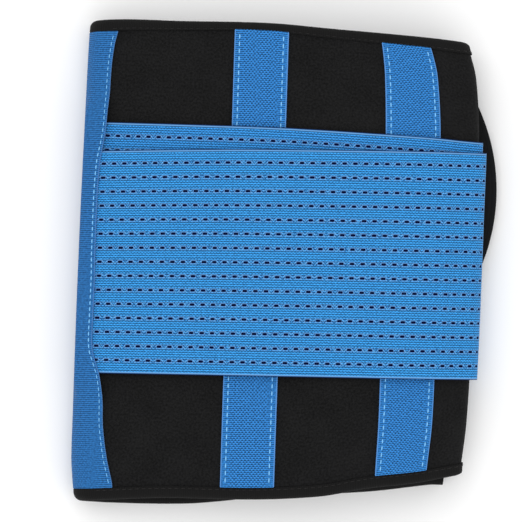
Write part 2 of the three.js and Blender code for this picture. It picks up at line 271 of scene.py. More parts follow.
left_centre = (left_fold_x + left_radius, rear_z + left_radius)
right_centre = (right_fold_x - RIGHT_FOLD_RADIUS, return_z + RIGHT_FOLD_RADIUS)
left_fold = arc(left_centre, left_radius, -math.pi / 2, LEFT_END_ANGLE - 2 * math.pi)
right_fold = arc(right_centre, RIGHT_FOLD_RADIUS, math.pi / 4, -math.pi / 2)
left_top = left_fold[-1]
tip = right_fold[0]
crown = (right_fold_x - CROWN_SETBACK, crown_z)
rise_reach = (crown[0] - left_top[0]) * RISE_REACH
fall_reach = CROWN_SETBACK * FALL_REACH
tip_reach = (crown_z - tip[1]) * TIP_REACH
rise_start = left_top + rise_reach * np.array([math.sin(LEFT_END_ANGLE), -math.cos(LEFT_END_ANGLE)])
strap_end = (right_centre[0] - OUTER_STRAP_RETURN, return_z)
runs = [
    straight((right_fold_x - REAR_SHORTFALL + REAR_REACH, rear_z), (left_centre[0], rear_z)),
    left_fold,
    bezier(left_top, rise_start, (crown[0] - rise_reach, crown_z), crown),
    bezier(crown, (crown[0] + fall_reach, crown_z), (tip[0] - tip_reach, tip[1] + tip_reach), tip),
    right_fold,
    straight((right_centre[0], return_z), strap_end),
    straight(strap_end, (left_fold_x + RETURN_SHORTFALL, return_end_z)),
]
run_ends = np.cumsum([walk(run)[-1] for run in runs]) - REAR_REACH
left_fold_end, right_fold_start, right_fold_end = run_ends[1], run_ends[3], run_ends[4]
section = np.concatenate([runs[0]] + [run[1:] for run in runs[1:]])
section_at = walk(section) - REAR_REACH
belt_length = float(section_at[-1])
cut_length = belt_length + REAR_REACH
cut_middle = (belt_length - REAR_REACH) / 2
section_heading = np.gradient(section, section_at, axis=0)
section_heading /= np.linalg.norm(section_heading, axis=1)[:, None]
right_fold_tip = float(section_at[np.argmax(section[:, 0])])
print("belt length along the folded section:", round(cut_length / MM), "mm")

# %% [markdown]
# ## Folding a flat point
# A flat point has a distance along the belt, a height on it and an offset out of the belt's middle
# surface. Folding it is one lookup in the section, a step along the section's normal, and a small shift
# where a fold draws in. Layers that differ only in their offset nest without touching.

# %% Fold points
RIGHT_SHIFT_START = 0.2  # these three are shares of half the folded width
LEFT_SHIFT_START = 0.4
SHIFT_END = 0.95
EDGE_CLEARANCE = 2 * MM
STATION_COUNT = 1500


def smooth(value, low, high):
    """0 below low, 1 above high and a smooth step between."""
    t = np.clip((value - low) / (high - low), 0, 1)
    return t * t * (3 - 2 * t)


def fold_shift(x, y):
    """How far a fold draws a point inwards."""
    height = y / BELT_HEIGHT
    near_right = smooth(x, right_fold_x * RIGHT_SHIFT_START, right_fold_x * SHIFT_END)
    near_left = smooth(-x, right_fold_x * LEFT_SHIFT_START, right_fold_x * SHIFT_END)
    left = read_rows(FOLD_ROWS, 1, height) * near_left
    return BELT_HEIGHT * (left - read_rows(FOLD_ROWS, 2, height) * near_right)


def fold_raw(distance, height, offset):
    """Folded places, before they are set over the frame's origin."""
    x = np.interp(distance, section_at, section[:, 0])
    z = np.interp(distance, section_at, section[:, 1])
    heading_x = np.interp(distance, section_at, section_heading[:, 0])
    heading_z = np.interp(distance, section_at, section_heading[:, 1])
    x = x - heading_z * offset
    z = z + heading_x * offset
    return np.stack([x + fold_shift(x, height), height, z], axis=1)


def outline_top(distance):
    """Height of the belt's upper outline."""
    return BELT_HEIGHT * read_rows(EDGE_ROWS, 1, distance / belt_length)


def outline_bottom(distance):
    """Height of the belt's lower outline."""
    return BELT_HEIGHT * read_rows(EDGE_ROWS, 2, distance / belt_length)


panel_inset = BINDING_WALL + EDGE_CLEARANCE
probe = np.linspace(0, belt_length, STATION_COUNT)
probe_heights = (outline_top(probe) - panel_inset, outline_bottom(probe) + panel_inset, probe * 0)
upper_face = np.concatenate([fold_raw(probe, height, panel_face) for height in probe_heights])
panel_low, panel_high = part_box("main_panel")
to_frame = np.array(panel_low) - upper_face.min(axis=0)


def fold_points(distance, height, offset):
    """Folded places in the frame."""
    return fold_raw(distance, height, offset) + to_frame


def cloth_to(stations, offset):
    """How much cloth a layer at an offset needs to reach each station along the belt."""
    return walk(fold_raw(stations, stations * 0, offset))


print("section to frame:", [round(float(step) / MM, 2) for step in to_frame], "mm")
crown_miss = float(upper_face[:, 2].max() + to_frame[2] - panel_high.z)
print("upper face over the frame's:", round(crown_miss / MM, 2), "mm")

# %% [markdown]
# ## Helpers for flat pieces
# A piece starts as a grid from Blender's own primitive, at its cut size. Modifiers give it a thickness and
# are applied while it is still flat. Its UV map keeps the flat place of every point, in metres, so that a
# weave follows the cloth round a fold. Only then is the piece folded.

# %% Helpers for flat pieces
TAU = 2 * math.pi
SHARP_ANGLE = math.radians(50)
SMOOTH_ANGLE = math.radians(40)
TOUCHING = 0.01 * MM
UPWARDS = 0.9


def use_only(piece):
    """Selects one object and makes it the active one."""
    bpy.ops.object.select_all(action="DESELECT")
    piece.select_set(True)
    bpy.context.view_layer.objects.active = piece


def added(name):
    """Names the piece that Blender has just added."""
    piece = bpy.context.active_object
    piece.name = piece.data.name = name
    return piece


def apply_modifiers(piece):
    """Applies every modifier in order."""
    use_only(piece)
    for modifier in list(piece.modifiers):
        bpy.ops.object.modifier_apply(modifier=modifier.name)


def read_points(piece):
    """The mesh's points as an array."""
    points = np.zeros(len(piece.data.vertices) * 3)
    piece.data.vertices.foreach_get("co", points)
    return points.reshape(-1, 3)


def write_points(piece, points):
    """Moves the mesh's points."""
    piece.data.vertices.foreach_set("co", np.ascontiguousarray(points, dtype=np.float64).ravel())
    piece.data.update()


def flat_grid(name, length, width, step_x, step_y):
    """A flat grid at its cut size, centred on the world's origin."""
    bpy.ops.object.select_all(action="DESELECT")
    bpy.ops.mesh.primitive_grid_add(
        x_subdivisions=max(1, round(length / step_x)),
        y_subdivisions=max(1, round(width / step_y)),
        size=1,
    )
    piece = added(name)
    piece.scale = (length, width, 1)
    bpy.ops.object.transform_apply(location=True, rotation=True, scale=True)
    return piece


def thicken(piece, thickness, offset=-1.0):
    """Gives a flat piece its thickness, below it, above it or about it."""
    solid = piece.modifiers.new("thickness", "SOLIDIFY")
    solid.thickness = thickness
    solid.offset = offset
    apply_modifiers(piece)


def round_edges(piece, radius, segments=2):
    """Rounds the cut edges of a flat piece."""
    bevel = piece.modifiers.new("rounded edges", "BEVEL")
    bevel.width = radius
    bevel.segments = segments
    bevel.limit_method = "ANGLE"
    bevel.angle_limit = SHARP_ANGLE
    apply_modifiers(piece)


def repeat(piece, name, count, step):
    """Copies a piece in one direction and joins the copies where they touch."""
    array = piece.modifiers.new(name, "ARRAY")
    array.count = count
    array.use_relative_offset = False
    array.use_constant_offset = True
    array.constant_offset_displace = step
    array.use_merge_vertices = True
    array.merge_threshold = TOUCHING


def keep_cut_uv(piece):
    """Writes each point's flat place, in metres, into the UV map."""
    mesh = piece.data
    while mesh.uv_layers:
        mesh.uv_layers.remove(mesh.uv_layers[0])
    layer = mesh.uv_layers.new(name="cut")
    corners = np.zeros(len(mesh.loops), dtype=np.int64)
    mesh.loops.foreach_get("vertex_index", corners)
    layer.data.foreach_set("uv", read_points(piece)[corners][:, :2].ravel())


def shade_smooth(piece):
    """Shades a piece smooth, except over its sharp edges."""
    use_only(piece)
    bpy.ops.object.shade_smooth_by_angle(angle=SMOOTH_ANGLE)
    piece.select_set(False)


def edit_faces(piece, test):
    """Opens a piece in edit mode with those of its faces selected that pass a test."""
    use_only(piece)
    for face in piece.data.polygons:
        face.select = test(face)
    bpy.ops.object.mode_set(mode="EDIT")
    bpy.ops.mesh.select_mode(type="FACE")


def fold(piece, place):
    """Keeps the cut's UV map, then moves every point to its folded place."""
    keep_cut_uv(piece)
    flat = read_points(piece)
    write_points(piece, fold_points(*place(flat[:, 0], flat[:, 1], flat[:, 2])))
    use_only(piece)
    bpy.ops.object.mode_set(mode="EDIT")
    bpy.ops.mesh.select_all(action="SELECT")
    bpy.ops.mesh.normals_make_consistent(inside=False)
    bpy.ops.object.mode_set(mode="OBJECT")
    shade_smooth(piece)
    print(piece.name, "has", len(piece.data.polygons), "faces")


def sew_in(piece, node):
    """Hangs a folded cloth piece on the root body and hides the frame's part that it replaces."""
    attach(piece, "root")
    if node:
        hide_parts(node)


# %% [markdown]
# ## Cloth finishes
# Every finish is built from noise and waves that read the cut's UV map, so the weave lies in the cloth and
# turns with it round the folds. Lengths are in millimetres there: a rib pitch of 1 means one millimetre.
# A weave this fine is shown twice, as colour, because threads shade each other, and as a slight bump.

# %% A small kit for finishes
CLOTH_SPECULAR = 0.1
SHEEN_ROUGHNESS = 0.5


def feed(tree, node, inputs):
    """Feeds a node's inputs with numbers, colours or the sockets of other nodes."""
    for key, value in inputs.items():
        if isinstance(value, bpy.types.NodeSocket):
            tree.links.new(value, node.inputs[key])
        else:
            node.inputs[key].default_value = value


class Finish:
    """Builds one procedural material around its Principled shader."""

    def __init__(self, name, color, roughness, sheen=0.0):
        self.material = bpy.data.materials.new(name)
        self.material.use_nodes = True
        self.tree = self.material.node_tree
        self.shader = self.tree.nodes["Principled BSDF"]
        feed(self.tree, self.shader, {
            "Base Color": (*color, 1),
            "Roughness": roughness,
            "Specular IOR Level": CLOTH_SPECULAR,
            "Sheen Weight": sheen,
            "Sheen Roughness": SHEEN_ROUGHNESS,
        })
        self.color = color

    def node(self, kind, inputs, **settings):
        """Adds a node, sets its options and feeds its inputs."""
        made = self.tree.nodes.new("ShaderNode" + kind)
        for key, value in settings.items():
            setattr(made, key, value)
        feed(self.tree, made, inputs)
        return made

    def math(self, operation, first, second=0.0):
        """One step of arithmetic on one or two values."""
        return self.node("Math", {0: first, 1: second}, operation=operation).outputs[0]

    def plus(self, first, second):
        """The sum of two values."""
        return self.math("ADD", first, second)

    def times(self, first, second):
        """The product of two values."""
        return self.math("MULTIPLY", first, second)

    def cut_places(self):
        """Place on the cut in millimetres: the vector, along and across."""
        uv = self.node("UVMap", {}, uv_map="cut").outputs[0]
        place = self.node("VectorMath", {0: uv, "Scale": 1 / MM}, operation="SCALE").outputs[0]
        parts = self.node("SeparateXYZ", {0: place})
        return place, parts.outputs[0], parts.outputs[1]

    def noise(self, place, scale, detail=2.0):
        """Noise from 0 to 1 at a scale per millimetre."""
        inputs = {"Vector": place, "Scale": scale, "Detail": detail}
        return self.node("TexNoise", inputs).outputs[0]

    def ripple(self, place, pitch):
        """A wave between 0 and 1 that repeats at a pitch."""
        wave_sum = self.math("SINE", self.times(place, TAU / pitch))
        return self.node("MapRange", {0: wave_sum, 1: -1.0, 2: 1.0, 3: 0.0, 4: 1.0}).outputs[0]

    def band(self, value, low, high):
        """0 below low, 1 above high, and a ramp between; low may be the greater one."""
        # Map Range takes the value, its two limits and the two results, in that order.
        limits = {0: value, 1: low, 2: high, 3: 0.0, 4: 1.0}
        return self.node("MapRange", limits, interpolation_type="SMOOTHSTEP").outputs[0]

    def shade(self, factor, dark, light):
        """The base colour times dark where the factor is 0 and times light where it is 1."""
        stops = [[min(1, part * share) for part in self.color] + [1] for share in (dark, light)]
        ramp = self.node("ValToRGB", {0: factor})
        ramp.color_ramp.elements[0].color = stops[0]
        ramp.color_ramp.elements[1].color = stops[1]
        return ramp.outputs[0]

    def mix(self, factor, first, second):
        """Blends two colours."""
        # The Mix node keeps the factor and the two colours of a colour blend at inputs 0, 6 and 7.
        return self.node("Mix", {0: factor, 6: first, 7: second}, data_type="RGBA").outputs[2]

    def use_color(self, color):
        """Links a colour to the shader."""
        feed(self.tree, self.shader, {"Base Color": color})

    def use_bump(self, height, depth):
        """Turns a height from 0 to 1 into bumps of a depth in millimetres."""
        bump = self.node("Bump", {"Height": height, "Distance": depth * MM, "Strength": 1.0})
        feed(self.tree, self.shader, {"Normal": bump.outputs[0]})


def dress(piece, *finishes):
    """Gives a piece its finishes, one for each material slot."""
    while len(piece.data.materials) < len(finishes):
        piece.data.materials.append(None)
    for slot, finish in enumerate(finishes):
        piece.data.materials[slot] = finish.material


# %% [markdown]
# ### Black cloths
# Brushed nylon is a matt black felt: fine noise, and a weak sheen that lifts the black where the light
# grazes it. The bindings are woven, with ribs across the ribbon, and look a shade lighter.

# %% Black cloths
FINE_DETAIL = 3.0
FUZZ_SCALE = 0.9
PATCH_SCALE = 0.06
PATCH_SHARE = 0.3
FUZZ_LIMITS = (0.35, 0.95)
PANEL_SHADES = (0.45, 1.6)
PANEL_BUMP = 0.12
BINDING_RIB_PITCH = 0.9
BINDING_SHADES = (0.5, 1.7)
BINDING_BUMP = 0.08
LOOP_SCALE = 2.2
TAB_SHADES = (0.6, 1.5)
TAB_BUMP = 0.25

panel_cloth = Finish("brushed nylon", (0.0074, 0.0074, 0.0076), 0.9, sheen=0.015)
place = panel_cloth.cut_places()[0]
fuzz = panel_cloth.noise(place, FUZZ_SCALE, FINE_DETAIL)
patches = panel_cloth.times(panel_cloth.noise(place, PATCH_SCALE), PATCH_SHARE)
fuzz_tone = panel_cloth.band(panel_cloth.plus(fuzz, patches), *FUZZ_LIMITS)
panel_cloth.use_color(panel_cloth.shade(fuzz_tone, *PANEL_SHADES))
panel_cloth.use_bump(fuzz, PANEL_BUMP)

binding_cloth = Finish("binding ribbon", (0.0068, 0.0067, 0.0067), 0.85, sheen=0.01)
place, along = binding_cloth.cut_places()[:2]
ribs = binding_cloth.ripple(along, BINDING_RIB_PITCH)
ribs = binding_cloth.plus(ribs, binding_cloth.noise(place, 1.4))
half_ribs = binding_cloth.times(ribs, 0.5)
binding_cloth.use_color(binding_cloth.shade(half_ribs, *BINDING_SHADES))
binding_cloth.use_bump(ribs, BINDING_BUMP)

black_thread = Finish("black thread", (0.020, 0.019, 0.019), 0.55)

tab_cloth = Finish("closure fabric", (0.0085, 0.0085, 0.0088), 0.9, sheen=0.02)
loops = tab_cloth.noise(tab_cloth.cut_places()[0], LOOP_SCALE, FINE_DETAIL)
tab_cloth.use_color(tab_cloth.shade(loops, *TAB_SHADES))
tab_cloth.use_bump(loops, TAB_BUMP)

# %% [markdown]
# ### Blue tape
# The tape is ribbed: its ribs run across it, about one to a millimetre, and two slanted waves that cross
# turn them into rows of dots along its middle. Its woven edges are paler. The stitches have a thread of
# their own, lighter than the tape.

# %% Blue tape
RIB_PITCH = 1.0
DOT_PITCH = 0.85
DOTS_FADE = (11.0, 7.0)  # off the tape's middle, where the dots start and where they are full
TAPE_NOISE = 2.0
TAPE_LIMITS = (0.7, 2.3)
TAPE_BUMP = 0.12
PALE_GAIN = 1.35
PALE_LIFT = 0.06
PALE_FADE = 0.3


def tape_finish(name, color, rib_depth, dot_depth, woven_edge_at):
    """A ribbon ribbed across, with dots along its middle and a pale woven edge."""
    tape = Finish(name, color, 0.75, sheen=0.03)
    place, along, across = tape.cut_places()
    ribs = tape.ripple(across, RIB_PITCH)
    slope = tape.times(along, RIB_PITCH / DOT_PITCH)
    rising = tape.ripple(tape.plus(slope, across), 2 * RIB_PITCH)
    falling = tape.ripple(tape.math("SUBTRACT", slope, across), 2 * RIB_PITCH)
    from_middle = tape.math("ABSOLUTE", along)
    middle = tape.band(from_middle, *DOTS_FADE)
    dots = tape.math("SUBTRACT", tape.plus(rising, falling), 1.0)
    texture = tape.plus(ribs, tape.times(dots, tape.times(middle, dot_depth)))
    texture = tape.plus(texture, tape.times(tape.noise(place, 1.0, FINE_DETAIL), TAPE_NOISE))
    texture = tape.band(texture, *TAPE_LIMITS)
    woven_edge = tape.band(from_middle, woven_edge_at, woven_edge_at + PALE_FADE)
    body = tape.shade(texture, 1 - rib_depth, 1 + rib_depth)
    pale = [min(1, part * PALE_GAIN + PALE_LIFT) for part in color] + [1]
    tape.use_color(tape.mix(woven_edge, body, pale))
    tape.use_bump(texture, TAPE_BUMP)
    return tape


front_tape_cloth = tape_finish(
    "ribbed tape", (0.023, 0.154, 0.422), rib_depth=0.72, dot_depth=0.7, woven_edge_at=12.8
)
# The tape on the left fold is the same tape in a darker colour: painted shade, as the fold faces away from
# the light.
shaded_fold_tape_cloth = tape_finish(
    "ribbed tape on the fold in painted shade", (0.020, 0.124, 0.342), rib_depth=0.55, dot_depth=0.2, woven_edge_at=18.65
)
blue_thread = Finish("pale blue thread", (0.19, 0.51, 0.86), 0.5)

# %% [markdown]
# ### Perforated elastic
# The elastic is knitted in fine courses, whose threads cross in small diamonds. Beside the holes the threads
# crowd into dark slants, and bright slants that are painted highlights on the threads; the pale rim of each
# hole is a painted highlight on its wall. Painted highlights also run along the strap's edges and its folded
# edge, and the holes' dark floors are painted shade. The rows of holes stand at fixed places on the cut, so
# the finish can measure how far a point is from a hole.

# %% Perforated elastic
CELL_LENGTH = 5.35 * MM
CELL_WIDTH = 7.17 * MM
HOLE_ROWS = 15
HOLE_LENGTH = 2.35 * MM
HOLE_WIDTH = 1.25 * MM
DIAMOND_PITCH = 1.6
COURSES = 6  # from one row of holes to the next
KNIT_SHARES = (0.8, 2.0, 0.3, 3.0)  # diamonds, courses, bands along the rows, noise
BAND_FADE = (1.2, 2.6)  # off a row of holes
KNIT_LIMITS = (2.5, 5.3)
KNIT_SHADES = (0.42, 2.15)
KNIT_BUMP = 0.1
SLANT_PITCH = 1.5
SLANT_RISE = 0.9
SLANT_GRAIN = (0.7, 2.2)  # scale and share of the noise in the slants
SLANT_HIGHLIGHT_LIMITS = (1.65, 1.95)
DARK_LIMITS = (1.5, 1.2)
NEAR_ROW = (1.5, 0.9)
PAST_HOLE = (1.1, 1.35)
BEFORE_HOLE = (2.7, 2.3)
HOLE_HIGHLIGHT_ACROSS = (1.3, 0.95)
HOLE_HIGHLIGHT_ALONG = (1.6, 1.2)
# Painted highlights along the strap's long edges and round its folded edge, and a painted shadow line at its
# edges.
HIGHLIGHT_FROM_EDGE = (-1.1, -0.9)
SHADOW_FROM_EDGE = (-0.5, -0.3)
FOLD_HIGHLIGHT_WEIGHT = 0.8
FOLD_HIGHLIGHT_FADE = (2.2, 1.2)
EDGE_HIGHLIGHT = (0.13, 0.33, 0.64, 1)
EDGE_SHADOW = (0.006, 0.03, 0.12, 1)
# The bright slants and the pale rims of the holes are painted highlights.
MARKS = (  # weight and colour of the bright slants, the dark slants and the rims of the holes
    (0.5, (0.20, 0.50, 0.88, 1)),
    (0.7, (0.006, 0.035, 0.18, 1)),
    (0.5, (0.15, 0.33, 0.68, 1)),
)


def knit_texture(cloth, place, along, across, from_row):
    """The courses, the diamonds and the bands along the rows of holes, from 0 to 1."""
    rising = cloth.ripple(cloth.plus(along, across), DIAMOND_PITCH)
    falling = cloth.ripple(cloth.math("SUBTRACT", along, across), DIAMOND_PITCH)
    courses = cloth.ripple(across, CELL_WIDTH / MM / COURSES)
    bands = cloth.band(from_row, *BAND_FADE)
    parts = (cloth.plus(rising, falling), courses, bands, cloth.noise(place, 1.0, FINE_DETAIL))
    knit = 0.0
    for part, share in zip(parts, KNIT_SHARES):
        knit = cloth.plus(cloth.times(part, share), knit)
    return cloth.band(knit, *KNIT_LIMITS)


def hole_marks(cloth, place, across, from_hole, from_row):
    """Where the painted highlights on the bright slants, the dark slants and the painted highlights round
    the holes show.
    """
    slants = cloth.ripple(cloth.plus(from_hole, cloth.times(across, SLANT_RISE)), SLANT_PITCH)
    grain_scale, grain_share = SLANT_GRAIN
    slants = cloth.plus(slants, cloth.times(cloth.noise(place, grain_scale), grain_share))
    beside = cloth.times(cloth.band(from_hole, *PAST_HOLE), cloth.band(from_hole, *BEFORE_HOLE))
    between = cloth.times(cloth.band(from_row, *NEAR_ROW), beside)
    # Painted highlights: the bright slants on the threads, and the pale rims on the walls of the holes.
    slant_highlight = cloth.times(cloth.band(slants, *SLANT_HIGHLIGHT_LIMITS), between)
    dark = cloth.times(cloth.band(slants, *DARK_LIMITS), between)
    rim = cloth.times(cloth.band(from_row, *HOLE_HIGHLIGHT_ACROSS), cloth.band(from_hole, *HOLE_HIGHLIGHT_ALONG))
    return slant_highlight, dark, rim


def elastic_finish(name, color, hole_pitch, fold_place):
    """Perforated elastic whose holes stand a pitch apart, one at its middle, with a painted highlight along
    its folded edge.
    """
    cloth = Finish(name, color, 0.7, sheen=0.03)
    place, along, across = cloth.cut_places()
    from_hole = cloth.math("PINGPONG", along, hole_pitch / MM / 2)
    from_row = cloth.math("PINGPONG", across, CELL_WIDTH / MM / 2)
    knit = knit_texture(cloth, place, along, across, from_row)
    body = cloth.shade(knit, *KNIT_SHADES)
    for mark, (weight, tint) in zip(hole_marks(cloth, place, across, from_hole, from_row), MARKS):
        body = cloth.mix(cloth.times(mark, weight), body, tint)
    from_edge = cloth.math("SUBTRACT", cloth.math("ABSOLUTE", across), STRAP_WIDTH / MM / 2)
    # A painted highlight along each long edge, and a painted shadow line in the outermost strip of it.
    body = cloth.mix(cloth.band(from_edge, *HIGHLIGHT_FROM_EDGE), body, EDGE_HIGHLIGHT)
    body = cloth.mix(cloth.band(from_edge, *SHADOW_FROM_EDGE), body, EDGE_SHADOW)
    # A painted highlight where the strap turns round the right fold.
    from_fold = cloth.math("ABSOLUTE", cloth.math("SUBTRACT", along, fold_place / MM))
    fold_highlight = cloth.times(cloth.band(from_fold, *FOLD_HIGHLIGHT_FADE), FOLD_HIGHLIGHT_WEIGHT)
    cloth.use_color(cloth.mix(fold_highlight, body, EDGE_HIGHLIGHT))
    cloth.use_bump(knit, KNIT_BUMP)
    return cloth


# The floors and walls of the pressed-in holes take this dark colour: painted shade, standing for the shaded
# depth of the holes.
hole_shade = Finish("painted shade in the holes", (0.003, 0.006, 0.060), 0.95)

# %% [markdown]
# ## The padded panel
# The panel is one long sheet of neoprene with brushed nylon on both faces. A grid of small squares bends
# well round the folds. Its edges are inset, because the bindings are wrapped round them. Thick foam is
# never quite flat, so the layer on top gets a slow wave, and every layer sewn to it shares that wave.

# %% The padded panel
PANEL_STEP = 2.4 * MM
PANEL_EDGE_RADIUS = 1.2 * MM
WAVE_HEIGHT = 0.5 * MM
WAVE_ALONG = (71 * MM, 190 * MM, 0.6, 1.1, 0.0)  # length, its wander's length, share, wander's reach, phase
WAVE_ACROSS = (93 * MM, 130 * MM, 0.7, 0.8, 0.6)
WAVE_FADE_IN = 25 * MM
WAVE_FADE_OUT = 20 * MM


def one_wave(onward, sideways, length, wander, share, reach, phase):
    """A wave that runs one way and wanders on the other."""
    return share * np.sin(onward * TAU / length + reach * np.sin(sideways * TAU / wander) + phase)


def wave(distance, height):
    """The slow unevenness of the front layer, which all layers on it share."""
    front = smooth(distance, left_fold_end, left_fold_end + WAVE_FADE_IN)
    front = front * (1 - smooth(distance, right_fold_start - WAVE_FADE_OUT, right_fold_start))
    waves = one_wave(distance, height, *WAVE_ALONG) + one_wave(height, distance, *WAVE_ACROSS)
    return WAVE_HEIGHT * front * waves


def panel_place(x, y, z):
    """The panel's flat points, from its rear end to its inner end."""
    distance = x + cut_middle
    low = outline_bottom(distance) + panel_inset
    high = outline_top(distance) - panel_inset
    height = low + (high - low) * (y / BELT_HEIGHT + 0.5)
    return distance, height, z + wave(distance, height)


belt_panel = flat_grid("belt_panel", cut_length, BELT_HEIGHT, PANEL_STEP, PANEL_STEP)
thicken(belt_panel, PANEL_THICKNESS, offset=0.0)
round_edges(belt_panel, PANEL_EDGE_RADIUS)
fold(belt_panel, panel_place)
dress(belt_panel, panel_cloth)
sew_in(belt_panel, "main_panel")

# %% [markdown]
# ## The edge bindings
# A binding is a ribbon folded lengthwise over the panel's raw edge. Across its width it is a leg, a round
# fold and a second leg. The same idea as the belt's own section works again, only smaller: the ribbon's
# flat width is measured along a U and bent onto it.

# %% The edge bindings
BINDING_STEP_ALONG = 2.4 * MM
BINDING_STEP_ACROSS = 0.9 * MM
BINDING_EDGE_RADIUS = 0.35 * MM
UPPER_DEPTH_ROWS = [  # share of the belt's length, depth in millimetres
    (0.35, 6.0), (0.455, 4.4), (0.52, 4.6), (0.61, 5.4), (0.68, 6.0),
]
PINCH = 0.9 * MM
PINCH_WIDTH = 2.6 * MM
PINCH_START = 25 * MM
binding_half = panel_face + GAP + BINDING_WALL / 2
bend_radius = binding_half
leg = BINDING_DEPTH - BINDING_WALL / 2 - bend_radius
binding_width = 2 * leg + math.pi * bend_radius


def u_profile(across):
    """Place and outward direction on the binding's middle line: how far in from the outline, how far out."""
    turn = np.clip(across / bend_radius, -math.pi / 2, math.pi / 2)
    beyond = np.maximum(np.abs(across) - bend_radius * math.pi / 2, 0)
    inwards = BINDING_WALL / 2 + bend_radius * (1 - np.cos(turn)) + beyond
    outwards = bend_radius * np.sin(turn)
    return inwards, outwards, -np.cos(turn), np.sin(turn)


def binding_depth(distance, inward_sign):
    """How far a binding reaches in from the outline: the upper one is rolled over to the back in places."""
    if inward_sign > 0:
        return BINDING_DEPTH + distance * 0
    return read_rows(UPPER_DEPTH_ROWS, 1, distance / belt_length) * MM


def binding_place(outline, inward_sign):
    """Bends a flat ribbon over one edge of the panel, thinner along its seams and on the right fold."""
    def place(x, y, z):
        distance = x + cut_middle
        inwards, outwards, step_in, step_out = u_profile(y)
        outer_share = np.clip(z / BINDING_WALL + 0.5, 0, 1)
        outer_share = outer_share * smooth(distance, left_fold_end, left_fold_end + PINCH_START)
        at_edge = smooth(np.abs(y), binding_width / 2 - PINCH_WIDTH, binding_width / 2)
        at_fold = 1 - smooth(np.abs(distance - right_fold_tip), 0.5 * PINCH_START, PINCH_START)
        on_leg = smooth(np.abs(y), bend_radius * math.pi / 4, bend_radius * math.pi / 2)
        z = z - PINCH * outer_share * np.maximum(at_edge, at_fold * on_leg)
        inwards = (inwards + step_in * z) * binding_depth(distance, inward_sign) / BINDING_DEPTH
        height = outline(distance) + inward_sign * inwards
        return distance, height, outwards + step_out * z + wave(distance, height)
    return place


def bound_edge(name, node, outline, inward_sign):
    """Makes one binding along the whole belt."""
    ribbon = flat_grid(name, cut_length, binding_width, BINDING_STEP_ALONG, BINDING_STEP_ACROSS)
    thicken(ribbon, BINDING_WALL, offset=0.0)
    round_edges(ribbon, BINDING_EDGE_RADIUS)
    fold(ribbon, binding_place(outline, inward_sign))
    dress(ribbon, binding_cloth)
    sew_in(ribbon, node)


bound_edge("upper_binding", "top_binding", outline_top, -1)
bound_edge("lower_binding", "bottom_binding", outline_bottom, 1)

# %% [markdown]
# ## The blue tapes
# The tapes are ribbed ribbon, sewn down along both sides. Two cross the front layer. A third wraps the
# left fold, where it bulges over the tucked ends of the straps. Their undersides sink a little into the
# panel, as the stitches pull them.

# %% The two front tapes
TAPE_STEP = 1.5 * MM
SEWN_SINK = 0.1 * MM
TAPE_OVERLAP = 0.6 * MM
TAPE_EDGE_RADIUS = 0.4 * MM
tape_cut_length = BELT_HEIGHT - 2 * BINDING_DEPTH


def front_distance(from_left_fold):
    """Distance along the belt where the front layer passes a place seen from above."""
    on_front = (section_at > left_fold_end) & (section_at < right_fold_start)
    return float(np.interp(left_fold_x + from_left_fold, section[on_front, 0], section_at[on_front]))


def front_tape_place(centre, lean):
    """The place of a tape that crosses the front layer, its lower end leaning to the right."""
    def place(x, y, z):
        share = y / tape_cut_length + 0.5
        low = outline_bottom(centre + x + lean / 2) + BINDING_DEPTH
        top_distance = centre + x - lean / 2
        high = outline_top(top_distance) - binding_depth(top_distance, -1) + TAPE_OVERLAP
        distance = centre + x + lean * (0.5 - share)
        height = low + (high - low) * share
        return distance, height, panel_face + z + wave(distance, height)
    return place


def blue_tape(name, node, width, step, thickness, place, finish):
    """Makes a tape that reaches from one binding to the other."""
    tape = flat_grid(name, width, tape_cut_length, step, TAPE_STEP)
    for vertex in tape.data.vertices:
        vertex.co.z = tape_step
    thicken(tape, thickness)
    round_edges(tape, TAPE_EDGE_RADIUS)
    fold(tape, place)
    dress(tape, finish)
    sew_in(tape, node)


front_tapes = {
    "left": front_tape_place(front_distance(LEFT_TAPE_PLACE), 0),
    "right": front_tape_place(front_distance(RIGHT_TAPE_PLACE), RIGHT_TAPE_LEAN),
}
for side_name, tape_place in front_tapes.items():
    blue_tape(
        f"tape_{side_name}", f"front_tape_{side_name}", TAPE_WIDTH, TAPE_STEP,
        tape_step + SEWN_SINK, tape_place, front_tape_cloth,
    )

# %% [markdown]
# ## Stitches
# A sewn line is one stitch again and again. A stitch starts as a small sphere stretched along the seam, its
# ends dip into the cloth, an Array modifier copies it, and the row is folded by the rule of its own tape.

# %% Stitches
FRONT_STITCH = (3.65 * MM, 2.7 * MM, 0.36 * MM)  # pitch, length, half of the thread's width
FRONT_SEAM = 2.6 * MM
STITCH_SIDES = 8
STITCH_LIFT = 0.5  # this and the dip of a stitch's ends are shares of half the thread's width
STITCH_DIP = 1.1
tape_seam_length = tape_cut_length - 2 * MM


def stitch_row(name, pitch, length, half_width, count):
    """A row of stitches along Y, centred on the origin."""
    bpy.ops.object.select_all(action="DESELECT")
    bpy.ops.mesh.primitive_uv_sphere_add(
        segments=STITCH_SIDES, ring_count=STITCH_SIDES, radius=1, rotation=(math.pi / 2, 0, 0)
    )
    row = added(name)
    row.scale = (half_width, half_width, length / 2)
    bpy.ops.object.transform_apply(location=True, rotation=True, scale=True)
    for vertex in row.data.vertices:
        vertex.co.z += half_width * (STITCH_LIFT - STITCH_DIP * (2 * vertex.co.y / length) ** 2)
        vertex.co.y -= (count - 1) * pitch / 2
    repeat(row, "seam", count, (0, pitch, 0))
    apply_modifiers(row)
    return row


def sew(name, stitch, seam_length, across, level, place, thread):
    """Sews one row beside a ribbon's middle line, on the ribbon's upper face."""
    pitch, length, half_width = stitch
    row = stitch_row(name, pitch, length, half_width, int(seam_length / pitch))
    for vertex in row.data.vertices:
        vertex.co.x += across
        vertex.co.z += level
    fold(row, place)
    dress(row, thread)
    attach(row, "root")


